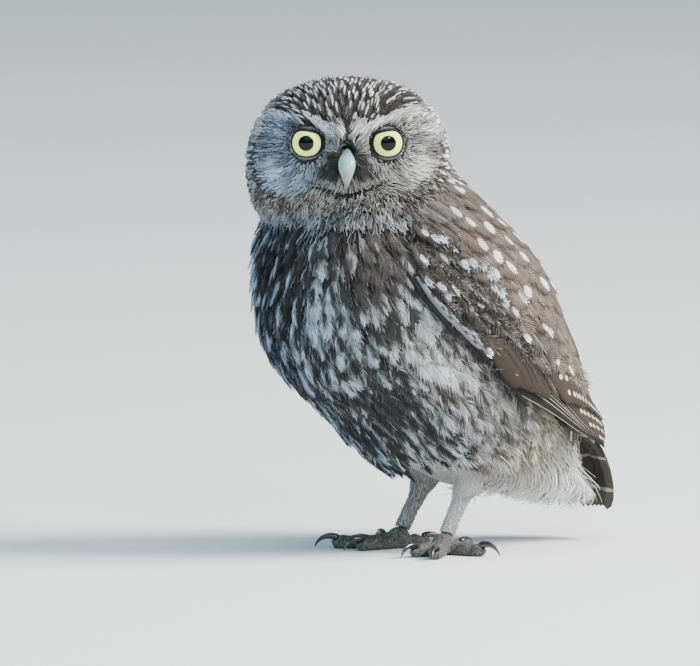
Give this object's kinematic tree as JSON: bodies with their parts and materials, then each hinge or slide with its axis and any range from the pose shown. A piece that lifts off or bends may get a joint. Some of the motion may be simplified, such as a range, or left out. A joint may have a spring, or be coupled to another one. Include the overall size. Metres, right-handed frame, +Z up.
{
  "type": "owl model",
  "caption": "Life-size still model of a little owl standing on both feet with wings and tail folded and its head turned to its left.",
  "frame": {"origin": "middle of the bounding box's base, on the ground that the soles rest on", "axes": "+Z up, the body faces -Y, the owl's left is +X"},
  "size_m": [0.1132, 0.1706, 0.1964],
  "materials": {
    "head_feathers": "matt streaked feathers",
    "breast_feathers": "soft matt feathers, pale with dark streaks",
    "wing_feathers": "matt brown feathers with white spots",
    "tail_feathers": "matt brown feathers with pale bars",
    "leg_feathers": "short pale down",
    "toes": "rough matt skin with bristles",
    "claw": "glossy horn",
    "bill": "satin horn",
    "eye": "wet gloss"
  },
  "bodies": {
    "root": {"head": "head_feathers", "neck": "head_feathers", "torso": "breast_feathers", "eye_left": "eye", "eye_right": "eye", "bill_upper": "bill", "bill_lower": "bill", "wing_left": "wing_feathers", "wing_right": "wing_feathers", "tail": "tail_feathers", "thigh_left": "leg_feathers", "tarsus_left": "leg_feathers", "foot_left": "toes", "claw_left_1": "claw", "claw_left_2": "claw", "claw_left_3": "claw", "claw_left_4": "claw", "thigh_right": "leg_feathers", "tarsus_right": "leg_feathers", "foot_right": "toes", "claw_right_1": "claw", "claw_right_2": "claw", "claw_right_3": "claw", "claw_right_4": "claw"}
  },
  "joints": []
}
